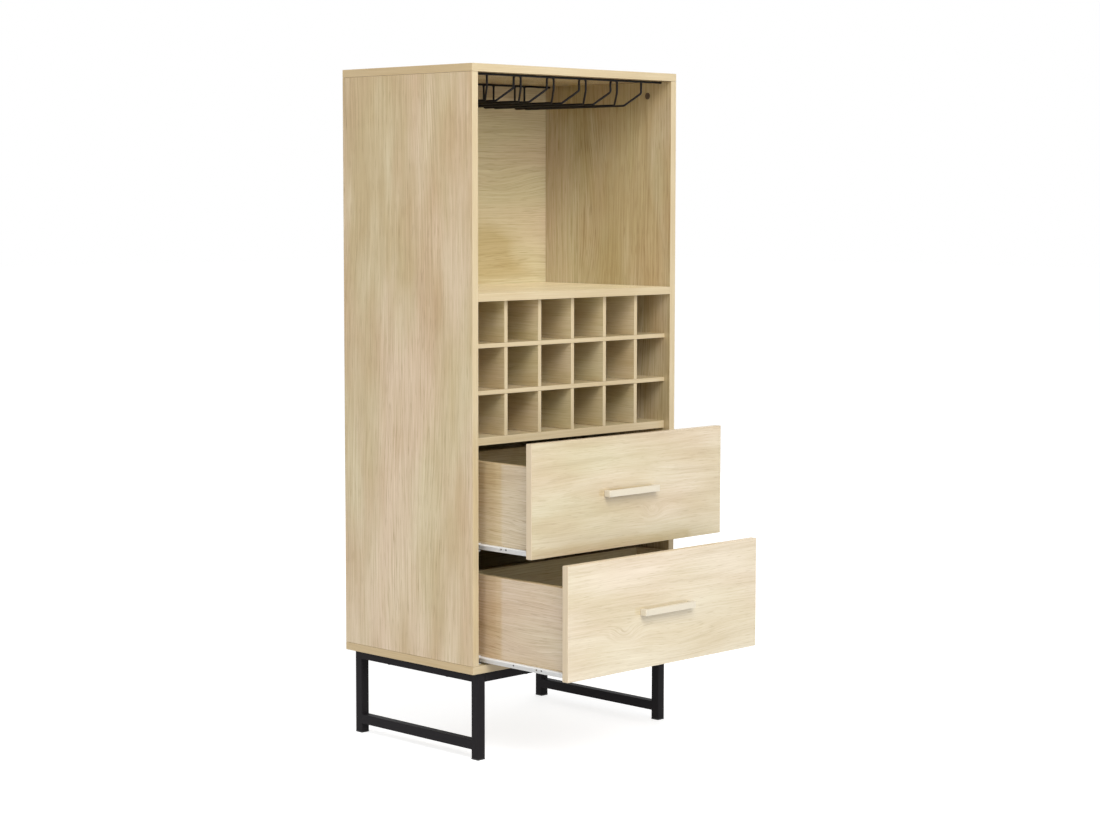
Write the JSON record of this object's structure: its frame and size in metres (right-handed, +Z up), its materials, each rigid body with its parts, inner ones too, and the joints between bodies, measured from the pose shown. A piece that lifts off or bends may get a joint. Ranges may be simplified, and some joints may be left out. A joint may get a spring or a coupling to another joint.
{
  "type": "bar cabinet",
  "caption": "Tall oak-faced bar cabinet on a black tube base: wire stemware rack in an open compartment, bottle grid below it, and drawers on roller runners.",
  "frame": {"origin": "centre of the overall box's underside at rest, on the floor", "axes": "+Z up, the drawers open towards -Y, +X to the right seen from the front"},
  "size_m": [0.6, 0.661, 1.403],
  "materials": {
    "oak_boards": "pale natural oak laminate on chipboard, vertical grain outside, light edge banding, satin",
    "back_board": "thin oak-printed fibreboard, horizontal grain, matt",
    "base_steel": "black fine-textured powder coat on square steel tube",
    "glide_plastic": "black moulded plastic",
    "rack_wire": "black powder coat on round steel wire",
    "runner_steel": "white epoxy coat on pressed steel",
    "roller_nylon": "off-white nylon",
    "drawer_fronts": "pale natural oak laminate with horizontal cathedral figure, satin",
    "drawer_boxes": "pale natural oak laminate, horizontal grain, satin",
    "drawer_bases": "thin oak-printed fibreboard, matt",
    "handle_cream": "cream satin paint"
  },
  "bodies": {
    "cabinet": {"top_panel": "oak_boards", "bottom_panel": "oak_boards", "left_side_panel": "oak_boards", "right_side_panel": "oak_boards", "compartment_shelf": "oak_boards", "rack_base_shelf": "oak_boards", "rack_board_1": "oak_boards", "rack_board_2": "oak_boards", "rack_divider_1": "oak_boards", "rack_divider_2": "oak_boards", "rack_divider_3": "oak_boards", "rack_divider_4": "oak_boards", "rack_divider_5": "oak_boards", "back_panel": "back_board", "left_leg_frame": "base_steel", "right_leg_frame": "base_steel", "front_rail": "base_steel", "back_rail": "base_steel", "front_left_glide": "glide_plastic", "front_right_glide": "glide_plastic", "back_left_glide": "glide_plastic", "back_right_glide": "glide_plastic", "glass_rack_front_wire": "rack_wire", "glass_rack_rear_wire": "rack_wire", "glass_hanger_1": "rack_wire", "glass_hanger_2": "rack_wire", "glass_hanger_3": "rack_wire", "glass_hanger_4": "rack_wire", "glass_hanger_5": "rack_wire", "glass_hanger_6": "rack_wire", "lower_left_cabinet_runner": "runner_steel", "lower_right_cabinet_runner": "runner_steel", "upper_left_cabinet_runner": "runner_steel", "upper_right_cabinet_runner": "runner_steel"},
    "lower_drawer": {"lower_drawer_left_runner": "runner_steel", "lower_drawer_right_runner": "runner_steel", "lower_drawer_front": "drawer_fronts", "lower_drawer_left_side": "drawer_boxes", "lower_drawer_right_side": "drawer_boxes", "lower_drawer_back": "drawer_boxes", "lower_drawer_base": "drawer_bases", "lower_drawer_handle": "handle_cream"},
    "upper_drawer": {"upper_drawer_left_runner": "runner_steel", "upper_drawer_right_runner": "runner_steel", "upper_drawer_front": "drawer_fronts", "upper_drawer_left_side": "drawer_boxes", "upper_drawer_right_side": "drawer_boxes", "upper_drawer_back": "drawer_boxes", "upper_drawer_base": "drawer_bases", "upper_drawer_handle": "handle_cream"},
    "lower_left_cabinet_roller": {"lower_left_cabinet_roller": "roller_nylon"},
    "lower_right_cabinet_roller": {"lower_right_cabinet_roller": "roller_nylon"},
    "upper_left_cabinet_roller": {"upper_left_cabinet_roller": "roller_nylon"},
    "upper_right_cabinet_roller": {"upper_right_cabinet_roller": "roller_nylon"},
    "lower_drawer_left_roller": {"lower_drawer_left_roller": "roller_nylon"},
    "lower_drawer_right_roller": {"lower_drawer_right_roller": "roller_nylon"},
    "upper_drawer_left_roller": {"upper_drawer_left_roller": "roller_nylon"},
    "upper_drawer_right_roller": {"upper_drawer_right_roller": "roller_nylon"}
  },
  "joints": [
    {"name": "lower_drawer_slide", "type": "slide", "parent": "cabinet", "child": "lower_drawer", "axis": [0, -1, 0], "range_m": [-0.25, 0.01]},
    {"name": "lower_left_cabinet_roller_spin", "type": "hinge", "parent": "cabinet", "child": "lower_left_cabinet_roller", "pos_m": [-0.26535, -0.0375, 0.2039], "axis": [1, 0, 0], "range_deg": [-2276, 92]},
    {"name": "lower_drawer_left_roller_spin", "type": "hinge", "parent": "lower_drawer", "child": "lower_drawer_left_roller", "pos_m": [-0.26535, -0.0095, 0.2039], "axis": [1, 0, 0], "range_deg": [-2276, 92]},
    {"name": "lower_right_cabinet_roller_spin", "type": "hinge", "parent": "cabinet", "child": "lower_right_cabinet_roller", "pos_m": [0.26535, -0.0375, 0.2039], "axis": [1, 0, 0], "range_deg": [-2276, 92]},
    {"name": "lower_drawer_right_roller_spin", "type": "hinge", "parent": "lower_drawer", "child": "lower_drawer_right_roller", "pos_m": [0.26535, -0.0095, 0.2039], "axis": [1, 0, 0], "range_deg": [-2276, 92]},
    {"name": "upper_drawer_slide", "type": "slide", "parent": "cabinet", "child": "upper_drawer", "axis": [0, -1, 0], "range_m": [-0.149, 0.111]},
    {"name": "upper_left_cabinet_roller_spin", "type": "hinge", "parent": "cabinet", "child": "upper_left_cabinet_roller", "pos_m": [-0.26535, -0.0375, 0.4344], "axis": [1, 0, 0], "range_deg": [-1357, 1011]},
    {"name": "upper_drawer_left_roller_spin", "type": "hinge", "parent": "upper_drawer", "child": "upper_drawer_left_roller", "pos_m": [-0.26535, 0.0915, 0.4344], "axis": [1, 0, 0], "range_deg": [-1357, 1011]},
    {"name": "upper_right_cabinet_roller_spin", "type": "hinge", "parent": "cabinet", "child": "upper_right_cabinet_roller", "pos_m": [0.26535, -0.0375, 0.4344], "axis": [1, 0, 0], "range_deg": [-1357, 1011]},
    {"name": "upper_drawer_right_roller_spin", "type": "hinge", "parent": "upper_drawer", "child": "upper_drawer_right_roller", "pos_m": [0.26535, 0.0915, 0.4344], "axis": [1, 0, 0], "range_deg": [-1357, 1011]}
  ],
  "couplings": [
    {"joint": "lower_left_cabinet_roller_spin", "follows": "lower_drawer_slide", "rad_per_m": 158.73},
    {"joint": "lower_drawer_left_roller_spin", "follows": "lower_drawer_slide", "rad_per_m": 158.73},
    {"joint": "lower_right_cabinet_roller_spin", "follows": "lower_drawer_slide", "rad_per_m": 158.73},
    {"joint": "lower_drawer_right_roller_spin", "follows": "lower_drawer_slide", "rad_per_m": 158.73},
    {"joint": "upper_left_cabinet_roller_spin", "follows": "upper_drawer_slide", "rad_per_m": 158.73},
    {"joint": "upper_drawer_left_roller_spin", "follows": "upper_drawer_slide", "rad_per_m": 158.73},
    {"joint": "upper_right_cabinet_roller_spin", "follows": "upper_drawer_slide", "rad_per_m": 158.73},
    {"joint": "upper_drawer_right_roller_spin", "follows": "upper_drawer_slide", "rad_per_m": 158.73}
  ]
}
